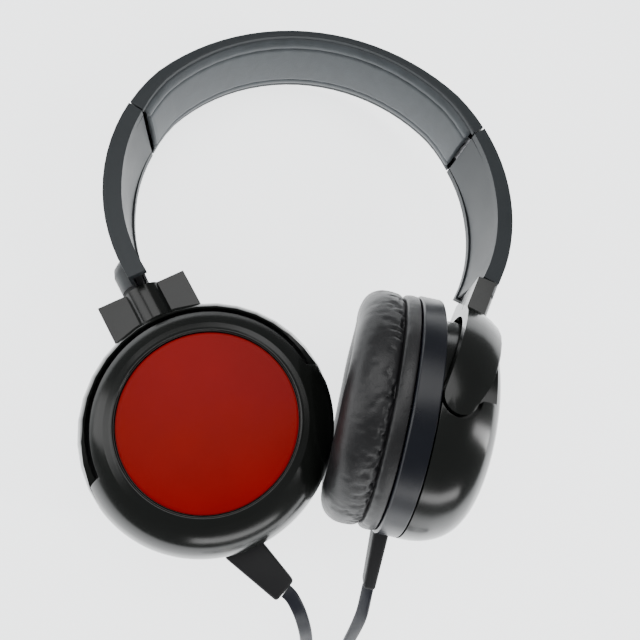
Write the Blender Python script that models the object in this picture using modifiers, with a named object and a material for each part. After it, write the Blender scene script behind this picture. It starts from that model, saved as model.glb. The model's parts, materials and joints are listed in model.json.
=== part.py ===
"""Over-ear headphones with swivelling, folding ear cups and a flat Y-shaped cord.

The headphones are drawn in a frame of their own, X to the right, Y to the crown of the
headband and Z to the front, and every piece hangs from one empty that lays them on a table
with the front up. The left cup is folded flat and the right cup stands on its edge.
"""

import math

import bmesh
import bpy
from mathutils import Matrix, Vector

MM = 0.001

# Headband: an arc over the crown that draws in towards the ears.
BAND_DEPTH = 28.0 * MM
CROWN_RADIUS = 80.7 * MM
SIDE_STARTS = 45.0
SIDE_SPAN = 65.0
SIDE_DRAWS_IN = 12.7 * MM
SIDE_POWER = 1.28
SHELL_ENDS = 57.6
ARM_STARTS = 58.0
SHELL_WALL = 1.5 * MM
SHELL_LIP_CROWN = 2.6 * MM
SHELL_LIP_END = 5.4 * MM
LINER_SPAN = 56.6
SPRING_SPAN = 38.0

# Arms: the sides of the headband, each on a rail that slides in the shell.
ARM_THICKNESS = 6.1 * MM
ARM_WALL = 1.4 * MM
ARM_COVER_INSET = 4.5 * MM
ARM_CURVE_ENDS = 104.0
RAIL_TOP_ANGLE = 43.5
RAIL_INSET = 2.2 * MM
RAIL_THICKNESS = 0.8 * MM

# Swivel: where the arm ends and the yoke's block begins.
ARM_END = (61.2 * MM, -21.9 * MM)
SWIVEL_LEAN = 27.6
SWIVEL_OFFSET = 0.9 * MM
BARREL_RADIUS = 6.4 * MM
BARREL_RISE = 12.0 * MM
BARREL_FOOT = 0.15 * MM
REACH = 52.4 * MM
PIN_RADIUS = 1.9 * MM
PIN_DEPTH = 6.5 * MM
PIN_REACH = 11.0 * MM
HUB_HEIGHT = 7.0 * MM

# Yoke.
BLOCK_WIDTH = 30.6 * MM
BLOCK_HEIGHT = 14.6 * MM
BLOCK_THICKNESS = 6.5 * MM
GAP = 0.3 * MM
YOKE_INNER = 37.3 * MM
YOKE_TIP_RADIUS = 5.2 * MM
YOKE_TIP_RISE = 0.9 * MM
TIP_CLEARANCE = 1.2 * MM
PIVOT_RADIUS = 1.6 * MM

# Ear cup, with its height measured outward from the tilt axis.
CUP_RADIUS = 41.5 * MM
RIM = -4.6 * MM
SIDE_RING_HEIGHT = 7.8 * MM
SKIRT_HEIGHT = 5.2 * MM
PAD_HEIGHT = 14.2 * MM
PAD_RADIUS = 40.4 * MM
PAD_HOLE = 23.0 * MM
CAP_RADIUS = 27.4 * MM
CAP_TOP = 14.6 * MM
RECESS_INNER = 34.9 * MM

# Strain relief, as width and thickness at its root and tip, and its angles about the cup.
RELIEF_ROOT = (12.2 * MM, 5.4 * MM)
RELIEF_TIP = (8.2 * MM, 4.2 * MM)
RELIEF_LENGTH = 22.0 * MM
RELIEF_HEIGHT = -8.9 * MM
RELIEF_AT = {"left": -14.5, "right": 14.5}
RELIEF_LIE = 16.5

# Pose at rest: the left cup folded flat, the right one nearly as worn.
SWIVEL_REST = {"left": 90.0, "right": -9.0}
TILT_REST = {"left": 0.0, "right": 12.5}
TABLE_LEAN = -9.87
TABLE_ROLL = -6.46
TABLE_SHIFT = (2.3 * MM, 21.8 * MM, 30.2 * MM)

# Cord: two branches run down from the cups and meet in a splitter on the table, and the rest
# of the cord lies in a round coil beside it, with the plug in front of the coil.
CORD_RADIUS = 1.5 * MM
CORD_STEP = 8.0 * MM
SPLITTER_SIZE = (16.0 * MM, 11.0 * MM, 4.6 * MM)
SPLITTER_AT = (12.0 * MM, -252.0 * MM, 2.4 * MM)
COIL_AT = (52.0 * MM, -226.0 * MM)
COIL_OUTER = 28.5 * MM
COIL_INNER = 17.0 * MM
COIL_HEIGHT = 4.8 * MM
PLUG_RADIUS = 4.0 * MM
PLUG_AT = (17.0 * MM, -206.0 * MM)
PLUG_HEADING = 217.0

ROUND_STEPS = 36

for old in list(bpy.data.objects):
    bpy.data.objects.remove(old, do_unlink=True)

parts = bpy.data.collections.new("over_ear_headphones")
cutters = bpy.data.collections.new("cutters")
bpy.context.scene.collection.children.link(parts)
bpy.context.scene.collection.children.link(cutters)


def material(name, colour, roughness, metallic=0.0):
    made = bpy.data.materials.new(name)
    made.use_nodes = True
    shader = made.node_tree.nodes["Principled BSDF"]
    shader.inputs["Base Color"].default_value = (*colour, 1.0)
    shader.inputs["Roughness"].default_value = roughness
    shader.inputs["Metallic"].default_value = metallic
    made.diffuse_color = (*colour, 1.0)
    return made


SATIN = material("satin_grey_plastic", (0.075, 0.085, 0.1), 0.45)
GLOSS = material("gloss_black_plastic", (0.02, 0.022, 0.02), 0.18)
SIDE = material("semi_gloss_navy_plastic", (0.025, 0.03, 0.045), 0.3)
RED = material("spun_red_metal", (0.45, 0.004, 0.003), 0.35, 0.3)
LEATHER = material("black_leatherette", (0.012, 0.012, 0.013), 0.45)
LINER = material("grey_leatherette", (0.07, 0.075, 0.08), 0.6)
CLOTH = material("black_speaker_cloth", (0.01, 0.01, 0.01), 0.9)
STEEL = material("spring_steel", (0.5, 0.5, 0.52), 0.35, 1.0)
MAGNET = material("nickel_plate", (0.55, 0.53, 0.5), 0.3, 1.0)
FILM = material("clear_film", (0.5, 0.45, 0.35), 0.25)
ABS = material("black_abs", (0.015, 0.015, 0.016), 0.6)
CORD = material("flat_cord_pvc", (0.02, 0.022, 0.03), 0.5)
GOLD = material("gold_plate", (0.8, 0.55, 0.2), 0.25, 1.0)


def empty(name, parent=None, matrix=None):
    made = bpy.data.objects.new(name, None)
    parts.objects.link(made)
    made.empty_display_size = 0.01
    made.parent = parent
    if matrix is not None:
        made.matrix_local = matrix
    return made


def finish(obj, name, parent, look=None):
    """Name the object, hang it from its empty and give it its material, or make it a cutter."""
    obj.name = name
    obj.data.name = name
    for holder in list(obj.users_collection):
        holder.objects.unlink(obj)
    obj.parent = parent
    if look is None:
        cutters.objects.link(obj)
        obj.hide_render = True
        obj.display_type = "WIRE"
        return obj
    parts.objects.link(obj)
    obj.data.materials.clear()
    obj.data.materials.append(look)
    return obj


def from_bmesh(bm, name):
    bmesh.ops.recalc_face_normals(bm, faces=bm.faces)
    mesh = bpy.data.meshes.new(name)
    bm.to_mesh(mesh)
    bm.free()
    made = bpy.data.objects.new(name, mesh)
    bpy.context.scene.collection.objects.link(made)
    return made


def box(name, parent, look, size, centre=(0, 0, 0), turn=None):
    bm = bmesh.new()
    bmesh.ops.create_cube(bm, size=1.0)
    bmesh.ops.scale(bm, vec=size, verts=bm.verts)
    made = from_bmesh(bm, name)
    made.location = centre
    if turn is not None:
        made.rotation_euler = turn
    return finish(made, name, parent, look)


def rod(name, parent, look, radius, length, centre=(0, 0, 0), along="Z", steps=24):
    """A rod with its middle at centre, whose flats face along and across it."""
    bm = bmesh.new()
    half_step = Matrix.Rotation(math.pi / steps, 4, "Z")
    bmesh.ops.create_cone(
        bm, cap_ends=True, segments=steps, radius1=radius, radius2=radius, depth=length,
        matrix=half_step,
    )
    made = from_bmesh(bm, name)
    made.location = centre
    made.rotation_euler = {
        "X": (0, math.pi / 2, 0),
        "Y": (-math.pi / 2, 0, 0),
        "Z": (0, 0, 0),
    }[along]
    made.data.shade_smooth()
    made.data.set_sharp_from_angle(angle=math.radians(40))
    return finish(made, name, parent, look)


def turned(name, parent, look, profile, closed=True, steps=ROUND_STEPS):
    """A profile of radius and height pairs, turned about the parent's Z axis."""
    mesh = bpy.data.meshes.new(name)
    count = len(profile)
    edges = [(i, i + 1) for i in range(count - 1)] + ([(count - 1, 0)] if closed else [])
    mesh.from_pydata([(r, 0, z) for r, z in profile], edges, [])
    made = bpy.data.objects.new(name, mesh)
    bpy.context.scene.collection.objects.link(made)
    screw = made.modifiers.new("turn", "SCREW")
    screw.steps = steps
    screw.render_steps = steps
    screw.use_merge_vertices = True
    screw.merge_threshold = 0.00001
    screw.use_smooth_shade = True
    return finish(made, name, parent, look)


def slab(name, parent, look, outline, half, centre=(0, 0, 0), along="Z"):
    """A flat outline with the same thickness to both sides of its plane, made a mesh."""
    curve = bpy.data.curves.new(name, "CURVE")
    curve.dimensions = "2D"
    curve.fill_mode = "BOTH"
    curve.extrude = half
    spline = curve.splines.new("POLY")
    spline.points.add(len(outline) - 1)
    for point, (x, y) in zip(spline.points, outline):
        point.co = (x, y, 0, 1)
    spline.use_cyclic_u = True
    drawn = bpy.data.objects.new(name, curve)
    bpy.context.scene.collection.objects.link(drawn)
    mesh = meshed(drawn)
    mesh.location = centre
    if along == "X":
        mesh.rotation_euler = (math.pi / 2, 0, math.pi / 2)
    return finish(mesh, name, parent, look)


def meshed(drawn):
    """The evaluated curve as a mesh object with its caps welded on."""
    depsgraph = bpy.context.evaluated_depsgraph_get()
    mesh = bpy.data.meshes.new_from_object(drawn.evaluated_get(depsgraph))
    bm = bmesh.new()
    bm.from_mesh(mesh)
    bmesh.ops.remove_doubles(bm, verts=bm.verts, dist=0.000001)
    bmesh.ops.recalc_face_normals(bm, faces=bm.faces)
    bm.to_mesh(mesh)
    bm.free()
    made = bpy.data.objects.new(drawn.name, mesh)
    bpy.context.scene.collection.objects.link(made)
    bpy.data.objects.remove(drawn, do_unlink=True)
    return made


def boolean(obj, other, kind):
    change = obj.modifiers.new(other.name, "BOOLEAN")
    change.operation = kind
    change.object = other
    change.solver = "EXACT"
    return obj


def cut(obj, *others):
    for other in others:
        boolean(obj, other, "DIFFERENCE")
    return obj


def join(obj, *others):
    for other in others:
        boolean(obj, other, "UNION")
    return obj


def soften(obj, width, segments=2, angle=35):
    bevel = obj.modifiers.new("soft_edges", "BEVEL")
    bevel.width = width
    bevel.segments = segments
    bevel.limit_method = "ANGLE"
    bevel.angle_limit = math.radians(angle)
    return obj


# --- The headband's line -------------------------------------------------------------


def band_radius(angle):
    """Distance from the crown's centre to the headband's outer face, by angle in degrees."""
    past = max(0.0, abs(angle) - SIDE_STARTS) / SIDE_SPAN
    return CROWN_RADIUS - SIDE_DRAWS_IN * past**SIDE_POWER


def band_point(angle, inset=0.0):
    turn = math.radians(angle)
    reach = band_radius(angle) - inset
    return (reach * math.sin(turn), reach * math.cos(turn))


def spaced(start, end, step):
    count = max(1, round(abs(end - start) / step))
    return [start + (end - start) * i / count for i in range(count + 1)]


def band_strip(start, end, outer, inner, step=4.0):
    """The outline between two insets, which may be numbers or functions of the angle."""
    angles = spaced(start, end, step)
    near = [outer(a) if callable(outer) else outer for a in angles]
    far = [inner(a) if callable(inner) else inner for a in angles]
    line = [band_point(a, inset) for a, inset in zip(angles, near)]
    back = [band_point(a, inset) for a, inset in zip(angles, far)]
    return line + back[::-1]


def shell_lip(angle):
    """The shell's rims are thin over the crown and as thick as the arms at its ends."""
    return SHELL_LIP_CROWN + (SHELL_LIP_END - SHELL_LIP_CROWN) * (abs(angle) / SHELL_ENDS) ** 2


def liner_face(angle):
    return shell_lip(angle) + 0.6 * MM


def liner_back(angle):
    """The liner is let in behind the shell's rims, clear of the spring strip."""
    return max(SHELL_WALL + 1.3 * MM, shell_lip(angle) - 0.9 * MM)


def arm_thickness(angle):
    """The arm starts as thick as the shell's end and grows to its own thickness."""
    grown = min(1.0, (angle - ARM_STARTS) / 20)
    return SHELL_LIP_END + (ARM_THICKNESS - SHELL_LIP_END) * grown


root = empty("table_pose")
root.matrix_local = (
    Matrix.Translation(TABLE_SHIFT)
    @ Matrix.Rotation(math.radians(TABLE_ROLL), 4, "Y")
    @ Matrix.Rotation(math.radians(TABLE_LEAN), 4, "X")
)


def headband():
    shell = slab(
        "headband_shell", root, SATIN,
        band_strip(-SHELL_ENDS, SHELL_ENDS, 0.0, shell_lip), BAND_DEPTH / 2,
    )
    pocket = slab(
        "headband_pocket", root, None,
        band_strip(-SHELL_ENDS - 2, SHELL_ENDS + 2, SHELL_WALL, 12 * MM), BAND_DEPTH / 2 - 2 * MM,
    )
    cut(shell, pocket)
    slab(
        "headband_spring_strip", root, STEEL,
        band_strip(-SPRING_SPAN, SPRING_SPAN, SHELL_WALL + GAP, SHELL_WALL + GAP + 0.5 * MM), 6 * MM,
    )
    slab(
        "headband_liner", root, LINER,
        band_strip(-LINER_SPAN, LINER_SPAN, liner_back, liner_face),
        BAND_DEPTH / 2 - 2 * MM - GAP,
    )


headband()

# --- One side ------------------------------------------------------------------------


def side_frames(side):
    """The places and directions of one side's joints, in the headphones' frame."""
    sign = -1 if side == "left" else 1
    lean = math.radians(SWIVEL_LEAN)
    down = Vector((-sign * math.sin(lean), -math.cos(lean), 0))
    outward = Vector((sign * math.cos(lean), -math.sin(lean), 0))
    end = Vector((sign * ARM_END[0], ARM_END[1], 0))
    return sign, down, outward, end


def frame_matrix(origin, y_axis, z_axis):
    x_axis = y_axis.cross(z_axis)
    turn = Matrix((x_axis, y_axis, z_axis)).transposed().to_4x4()
    return Matrix.Translation(origin) @ turn


def hub_outline(end, outward, down):
    """The plug that closes the arm's hollow end, clear of its walls."""
    out = outward * (ARM_THICKNESS / 2 - ARM_WALL - GAP)
    into = outward * (ARM_THICKNESS / 2 - ARM_COVER_INSET + GAP)
    foot = end - down * 0.5 * MM
    top = foot - down * HUB_HEIGHT
    return [(c.x, c.y) for c in (foot + out, foot + into, top + into, top + out)]


def rail(side):
    """The steel strip that slides in the shell and carries the arm."""
    sign = -1 if side == "left" else 1
    top = Vector((*band_point(sign * RAIL_TOP_ANGLE, RAIL_INSET), 0))
    low = Vector((*band_point(sign * ARM_STARTS, RAIL_INSET), 0))
    along = (low - top).normalized()
    low = low + along * 1.0 * MM
    middle = (top + low) / 2
    turn = math.atan2(along.y, along.x)
    box(
        side + "_slider_rail", root, STEEL, ((low - top).length, RAIL_THICKNESS, 14 * MM),
        middle, (0, 0, turn),
    )


def arm(side):
    sign, down, outward, end = side_frames(side)
    pivot = Vector((*band_point(sign * ARM_STARTS), 0))
    axis = empty(side + "_flex_axis", root, Matrix.Translation(pivot))
    here = empty(side + "_arm_frame", axis, Matrix.Translation(-pivot))
    tip_out = end + outward * ARM_THICKNESS / 2
    tip_in = end - outward * ARM_THICKNESS / 2
    angles = spaced(ARM_STARTS, ARM_CURVE_ENDS, 4.0)

    def strip(outer, inner, stop=0.0):
        near = tip_out - outward * outer - down * stop
        far = tip_out - outward * inner - down * stop
        return (
            [band_point(sign * a, outer) for a in angles]
            + [(near.x, near.y), (far.x, far.y)]
            + [band_point(sign * a, inner) for a in reversed(angles)]
        )

    body = slab(
        side + "_arm_shell", here, SATIN,
        [band_point(sign * a) for a in angles]
        + [(tip_out.x, tip_out.y), (tip_in.x, tip_in.y)]
        + [band_point(sign * a, arm_thickness(a)) for a in reversed(angles)],
        BAND_DEPTH / 2,
    )
    barrel_axis = end + outward * SWIVEL_OFFSET
    barrel_frame = empty(
        side + "_barrel_frame", here, frame_matrix(barrel_axis, outward.cross(-down), -down)
    )
    dome = [
        (0, BARREL_RISE),
        (BARREL_RADIUS * 0.5, BARREL_RISE - 0.6 * MM),
        (BARREL_RADIUS * 0.85, BARREL_RISE - 2.6 * MM),
        (BARREL_RADIUS, BARREL_RISE - 5.2 * MM),
        (BARREL_RADIUS, BARREL_FOOT),
        (0, BARREL_FOOT),
    ]
    barrel = turned(side + "_barrel_form", barrel_frame, None, dome, closed=False, steps=28)
    hollow = slab(side + "_arm_hollow", here, None, strip(ARM_WALL, 14 * MM, -3 * MM), 11.4 * MM)
    join(body, barrel)
    cut(body, hollow)
    inner = slab(
        side + "_arm_inner_cover", here, SATIN,
        strip(ARM_COVER_INSET, ARM_COVER_INSET + 0.9 * MM, 0.6 * MM), 11.1 * MM,
    )
    hub_block = slab(side + "_swivel_hub", here, ABS, hub_outline(end, outward, down), 10.8 * MM)
    bore = rod(
        side + "_hub_bore", barrel_frame, None, PIN_RADIUS + GAP, 2 * PIN_DEPTH, along="Z"
    )
    cut(body, bore)
    cut(hub_block, bore)
    rod(
        side + "_swivel_pin", barrel_frame, STEEL, PIN_RADIUS, PIN_DEPTH + PIN_REACH - GAP,
        (0, 0, (PIN_DEPTH - PIN_REACH - GAP) / 2),
    )


# --- Yoke ----------------------------------------------------------------------------

DOME_SIDE = [
    (41.5 * MM, RIM),
    (41.5 * MM, -2.0 * MM),
    (41.1 * MM, 1.5 * MM),
    (40.1 * MM, 5.0 * MM),
    (38.6 * MM, 8.2 * MM),
    (36.3 * MM, 11.2 * MM),
    (33.3 * MM, 13.5 * MM),
    (30.6 * MM, 14.8 * MM),
]


def below_tips(radius, margin=0.0):
    """The space below the yoke's rounded tips, seen along the tilt axis, as an outline."""
    tip = [
        (-radius * math.sin(math.radians(t)), YOKE_TIP_RISE - radius * math.cos(math.radians(t)))
        for t in spaced(0, 180, 15)
    ]
    upper = [(6 * MM, 7.8 * MM + margin), (20 * MM, 9.4 * MM + margin), (20 * MM, 45 * MM)]
    outline = [(0, -30 * MM)] + tip + upper + [(-70 * MM, 45 * MM), (-70 * MM, -30 * MM)]
    return [(y - 0.15 * MM, z) for y, z in outline]


def yoke(side, frame):
    profile = [(r, z) for r, z in DOME_SIDE if z < 8.5 * MM]
    profile[0] = (profile[0][0], RIM + GAP)
    ring = turned(
        side + "_yoke", frame, GLOSS,
        [(YOKE_INNER, 8.6 * MM), (37.9 * MM, 8.9 * MM)] + profile[::-1] + [(YOKE_INNER, RIM + GAP)],
    )
    lower = slab(
        side + "_yoke_below_tips", frame, None, below_tips(YOKE_TIP_RADIUS), 60 * MM, along="X"
    )
    block_top = REACH - 1.1 * MM
    block = box(
        side + "_yoke_block", frame, None, (BLOCK_WIDTH, BLOCK_HEIGHT, BLOCK_THICKNESS),
        (0, block_top - BLOCK_HEIGHT / 2, -0.3 * MM),
    )
    boss_low = YOKE_INNER + 1.2 * MM
    boss = rod(
        side + "_yoke_boss", frame, None, BARREL_RADIUS, block_top - boss_low,
        (0, (block_top + boss_low) / 2, 0), along="Y", steps=32,
    )
    bore = rod(
        side + "_yoke_bore", frame, None, PIN_RADIUS + GAP, 2 * (PIN_REACH + 1 * MM),
        (0, REACH, 0), along="Y",
    )
    inner_side = box(
        side + "_yoke_inside", frame, None, (BLOCK_WIDTH, 40 * MM, 10 * MM),
        (0, 58 * MM, -8.6 * MM),
    )
    within = rod(
        side + "_yoke_within", frame, None, YOKE_INNER, 40 * MM, (0, 0, 0), steps=ROUND_STEPS
    )
    cut(ring, lower)
    join(ring, block, boss)
    cut(ring, bore, inner_side, within)
    for end, name in ((1, "_pivot_pin_a"), (-1, "_pivot_pin_b")):
        hole = rod(
            side + name + "_hole", frame, None, PIVOT_RADIUS + GAP, 8 * MM,
            (end * 35.8 * MM, 0, 0), along="X", steps=20,
        )
        cut(ring, hole)
        rod(
            side + name, frame, STEEL, PIVOT_RADIUS, 5.2 * MM, (end * 36.8 * MM, 0, 0),
            along="X", steps=20,
        )


# --- Ear cup -------------------------------------------------------------------------


def cup(side, frame):
    dome = (
        [(0, 13.4 * MM), (27.7 * MM, 13.4 * MM), (27.9 * MM, 14.8 * MM), (28.8 * MM, 15.1 * MM)]
        + DOME_SIDE[::-1]
        + [(33.7 * MM, RIM), (33.7 * MM, 7.5 * MM), (31 * MM, 10.6 * MM), (26 * MM, 12.2 * MM)]
        + [(0, 12.2 * MM)]
    )
    shell = turned(side + "_outer_shell", frame, GLOSS, dome, closed=False)
    recess = turned(
        side + "_shell_recess", frame, None,
        [(RECESS_INNER, 20 * MM), (50 * MM, 20 * MM), (50 * MM, -8 * MM), (RECESS_INNER, -8 * MM)],
    )
    beyond = slab(
        side + "_recess_below_tips", frame, None,
        below_tips(YOKE_TIP_RADIUS + TIP_CLEARANCE, 30 * MM), 70 * MM, along="X",
    )
    cut(recess, beyond)
    cut(shell, recess)
    for end in (1, -1):
        hole = rod(
            side + "_shell_pivot_hole", frame, None, PIVOT_RADIUS + GAP, 8 * MM,
            (end * 35.8 * MM, 0, 0), along="X", steps=20,
        )
        cut(shell, hole)
    turned(
        side + "_red_cap", frame, RED,
        [(0, 14.75 * MM), (20 * MM, 14.7 * MM), (26.8 * MM, CAP_TOP), (CAP_RADIUS, 14.2 * MM),
         (CAP_RADIUS, 13.7 * MM), (0, 13.7 * MM)],
        closed=False,
    )
    top = RIM - GAP
    low = RIM - SIDE_RING_HEIGHT
    ring = turned(
        side + "_side_ring", frame, SIDE,
        [(34.6 * MM, top), (41.1 * MM, top), (CUP_RADIUS, top - 0.4 * MM),
         (CUP_RADIUS, low + 0.4 * MM), (41.2 * MM, low), (38.5 * MM, low),
         (38.5 * MM, top - 1.6 * MM), (34.6 * MM, top - 1.6 * MM)],
    )
    baffle = turned(
        side + "_baffle", frame, ABS,
        [(20.4 * MM, -9.8 * MM), (38.2 * MM, -9.8 * MM), (38.2 * MM, -11.6 * MM),
         (20.4 * MM, -11.6 * MM)],
    )
    turned(
        side + "_driver_frame", frame, ABS,
        [(12.4 * MM, -9.2 * MM), (20.0 * MM, -9.2 * MM), (20.0 * MM, -11.9 * MM),
         (18.6 * MM, -11.9 * MM), (18.6 * MM, -10.4 * MM), (12.4 * MM, -10.4 * MM)],
        steps=32,
    )
    rod(
        side + "_driver_magnet", frame, MAGNET, 12.0 * MM, 6.8 * MM, (0, 0, -6.8 * MM), steps=32
    )
    turned(
        side + "_diaphragm", frame, FILM,
        [(0, -11.6 * MM), (6 * MM, -11.5 * MM), (9 * MM, -10.8 * MM), (18.3 * MM, -10.8 * MM),
         (18.3 * MM, -11.1 * MM), (9.2 * MM, -11.1 * MM), (6.2 * MM, -11.9 * MM), (0, -12.0 * MM)],
        closed=False, steps=32,
    )
    rod(side + "_speaker_cloth", frame, CLOTH, 33.0 * MM, 0.4 * MM, (0, 0, -12.9 * MM), steps=40)
    turned(
        side + "_pad_ring", frame, ABS,
        [(33.5 * MM, low - GAP), (39.4 * MM, low - GAP), (39.4 * MM, -14.2 * MM),
         (33.5 * MM, -14.2 * MM)],
    )
    groove = low - SKIRT_HEIGHT
    face = groove - PAD_HEIGHT
    turned(
        side + "_ear_pad", frame, LEATHER,
        [(39.8 * MM, low - GAP), (40.9 * MM, low - GAP), (40.9 * MM, groove + 0.4 * MM),
         (39.7 * MM, groove), (PAD_RADIUS, groove - 1.6 * MM), (PAD_RADIUS, face + 6.5 * MM),
         (37.6 * MM, face + 1.8 * MM), (32 * MM, face), (27 * MM, face + 1.1 * MM),
         (23.8 * MM, face + 4.9 * MM), (PAD_HOLE, face + 11.4 * MM), (23.8 * MM, -16 * MM),
         (25 * MM, -14.5 * MM), (39.8 * MM, -14.5 * MM)],
    )
    for index, angle in enumerate((90, 210, 330), 1):
        turn = math.radians(angle)
        rod(
            f"{side}_baffle_screw_{index}", frame, STEEL, 2.2 * MM, 0.9 * MM,
            (30 * MM * math.cos(turn), 30 * MM * math.sin(turn), -12.15 * MM), steps=16,
        )
    relief(side, frame, (ring, baffle))


def relief(side, frame, let_into):
    """The tapered strain relief, a flat wedge let into the side ring."""
    at = math.radians(RELIEF_AT[side])
    lie = math.radians(RELIEF_LIE)
    origin = (38.9 * MM * math.sin(at), -38.9 * MM * math.cos(at), RELIEF_HEIGHT)
    turn = (math.pi / 2, 0, lie)
    here = empty(side + "_relief_frame", frame)
    here.location = origin
    here.rotation_euler = turn

    def wedge(name, look, grow):
        bm = bmesh.new()
        bmesh.ops.create_cube(bm, size=1.0)
        bmesh.ops.translate(bm, vec=(0, 0, 0.5), verts=bm.verts)
        for vert in bm.verts:
            far = vert.co.z > 0.5
            width, thick = RELIEF_TIP if far else RELIEF_ROOT
            vert.co.x *= width + grow
            vert.co.y *= thick + grow
            vert.co.z *= RELIEF_LENGTH
        return finish(from_bmesh(bm, name), name, here, look)

    body = wedge(side + "_strain_relief", ABS, 0.0)
    soften(body, 0.8 * MM)
    slot = wedge(side + "_relief_slot", None, 2 * GAP)
    slot.location.z = -GAP
    for piece in let_into:
        cut(piece, slot)


def build_side(side):
    rail(side)
    arm(side)
    _, down, outward, end = side_frames(side)
    hub = end + down * REACH + outward * SWIVEL_OFFSET
    arm_frame = bpy.data.objects[side + "_arm_frame"]
    swivel = empty(
        side + "_swivel_axis", arm_frame,
        frame_matrix(hub, -down, outward)
        @ Matrix.Rotation(math.radians(SWIVEL_REST[side]), 4, "Y"),
    )
    yoke(side, swivel)
    tilt = empty(
        side + "_tilt_axis", swivel, Matrix.Rotation(math.radians(-TILT_REST[side]), 4, "X")
    )
    cup(side, tilt)


for side in ("left", "right"):
    build_side(side)

# --- Cord ----------------------------------------------------------------------------

# Each route is on the table except where it comes down from a strain relief, which gives its
# first points. Its other points are in millimetres.
LEFT_ROUTE = [
    (-7.7, -108.0, 41.0), (-5.2, -115.0, 37.6), (-3.2, -121.8, 31.8), (-1.4, -129.2, 24.4),
    (0.5, -137.5, 16.2), (2.2, -146.5, 8.8), (3.0, -156.0, 3.8), (2.2, -166.0, 1.9),
    (-1.8, -176.5, 1.6), (-10.0, -186.5, 1.6), (-21.5, -195.5, 1.6), (-32.5, -204.5, 1.6),
    (-40.5, -215.5, 1.6), (-43.0, -228.5, 1.6), (-38.0, -241.5, 1.6), (-27.0, -250.5, 1.6),
    (-13.0, -254.6, 1.8), (-4.0, -255.0, 2.1), (3.7, -254.9, 2.3),
]
RIGHT_ROUTE = [
    (16.2, -114.0, 34.8), (15.9, -121.5, 28.8), (15.8, -129.5, 21.2), (16.0, -138.0, 13.4),
    (16.3, -147.0, 7.0), (16.0, -156.5, 3.0), (14.0, -167.0, 1.7), (8.5, -178.0, 1.6),
    (-0.5, -188.0, 1.6), (-12.0, -196.5, 1.6), (-22.0, -205.5, 1.6), (-28.5, -216.5, 1.6),
    (-29.5, -228.5, 1.6), (-25.0, -239.0, 1.6), (-16.0, -246.2, 1.7), (-6.5, -248.8, 2.0),
    (3.7, -249.1, 2.3),
]
MAIN_ROUTE = [(20.3, -252.0, 2.2), (26.0, -252.1, 1.8), (31.0, -251.9, 1.7), (36.0, -251.3, 1.7)]
TAIL_ROUTE = [
    (42.2, -197.6, 1.8), (35.5, -195.4, 1.7), (28.5, -196.4, 2.0), (22.5, -200.6, 3.2),
    (17.3, -205.7, 4.1),
]


def smooth_line(points):
    """A Catmull-Rom curve through the points, read every CORD_STEP along it."""
    ends = [points[0] * 2 - points[1]] + points + [points[-1] * 2 - points[-2]]
    fine = []
    for before, start, end, after in zip(ends, ends[1:], ends[2:], ends[3:]):
        for i in range(12):
            t = i / 12
            fine.append(
                0.5 * (
                    2 * start + (end - before) * t
                    + (2 * before - 5 * start + 4 * end - after) * t**2
                    + (3 * start - before - 3 * end + after) * t**3
                )
            )
    fine.append(points[-1])
    length = sum((b - a).length for a, b in zip(fine, fine[1:]))
    count = max(2, round(length / CORD_STEP))
    line = [fine[0]]
    walked = 0.0
    for a, b in zip(fine, fine[1:]):
        walked += (b - a).length
        if walked >= length * len(line) / count and len(line) < count:
            line.append(b)
    return line + [fine[-1]]


def cord(name, route, start=()):
    """A round stand-in for one stretch of the cord."""
    points = smooth_line(list(start) + [Vector(p) * MM for p in route])
    curve = bpy.data.curves.new(name, "CURVE")
    curve.dimensions = "3D"
    curve.bevel_depth = CORD_RADIUS
    curve.bevel_resolution = 2
    curve.use_fill_caps = True
    spline = curve.splines.new("POLY")
    spline.points.add(len(points) - 1)
    for point, place in zip(spline.points, points):
        point.co = (*place, 1)
    drawn = bpy.data.objects.new(name, curve)
    bpy.context.scene.collection.objects.link(drawn)
    return finish(drawn, name, None, CORD)


def relief_tip(side):
    """Where a branch meets its strain relief, and a point a little further along it."""
    bpy.context.view_layer.update()
    frame = bpy.data.objects[side + "_relief_frame"].matrix_world
    return [frame @ Vector((0, 0, RELIEF_LENGTH + GAP + more)) for more in (0.0, 3.0 * MM)]


cord("left_branch_cord", LEFT_ROUTE, relief_tip("left"))
cord("right_branch_cord", RIGHT_ROUTE, relief_tip("right"))
cord("main_cord_lead", MAIN_ROUTE)
cord("plug_cord_lead", TAIL_ROUTE)
splitter = box("cord_splitter", None, ABS, SPLITTER_SIZE, SPLITTER_AT)
soften(splitter, 1.2 * MM)

coil_frame = empty("coil_frame")
coil_frame.location = (*COIL_AT, 0.1 * MM)
turned(
    "cord_coil", coil_frame, CORD,
    [(COIL_INNER, COIL_HEIGHT), (COIL_OUTER, COIL_HEIGHT), (COIL_OUTER, 0), (COIL_INNER, 0)],
)

plug_frame = empty("plug_frame")
plug_frame.location = (*PLUG_AT, PLUG_RADIUS + 0.1 * MM)
plug_frame.rotation_euler = (0, math.pi / 2, math.radians(PLUG_HEADING))
turned(
    "plug_body", plug_frame, ABS,
    [(0, 26 * MM), (2.6 * MM, 26 * MM), (PLUG_RADIUS, 24.6 * MM), (PLUG_RADIUS, 9 * MM),
     (2.4 * MM, 7 * MM), (2.2 * MM, 0), (0, 0)],
    closed=False, steps=20,
)
turned(
    "plug_pin", plug_frame, GOLD,
    [(0, 40.3 * MM), (0.8 * MM, 40.1 * MM), (1.5 * MM, 38.6 * MM), (1.1 * MM, 37.6 * MM),
     (1.75 * MM, 36.6 * MM), (1.75 * MM, 26.3 * MM), (0, 26.3 * MM)],
    closed=False, steps=16,
)
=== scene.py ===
"""Over-ear headphones lying on a pale table, one cup folded flat and the other on its edge."""

import json
import math

import bmesh
import bpy
from mathutils import Matrix, Vector, noise

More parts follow.
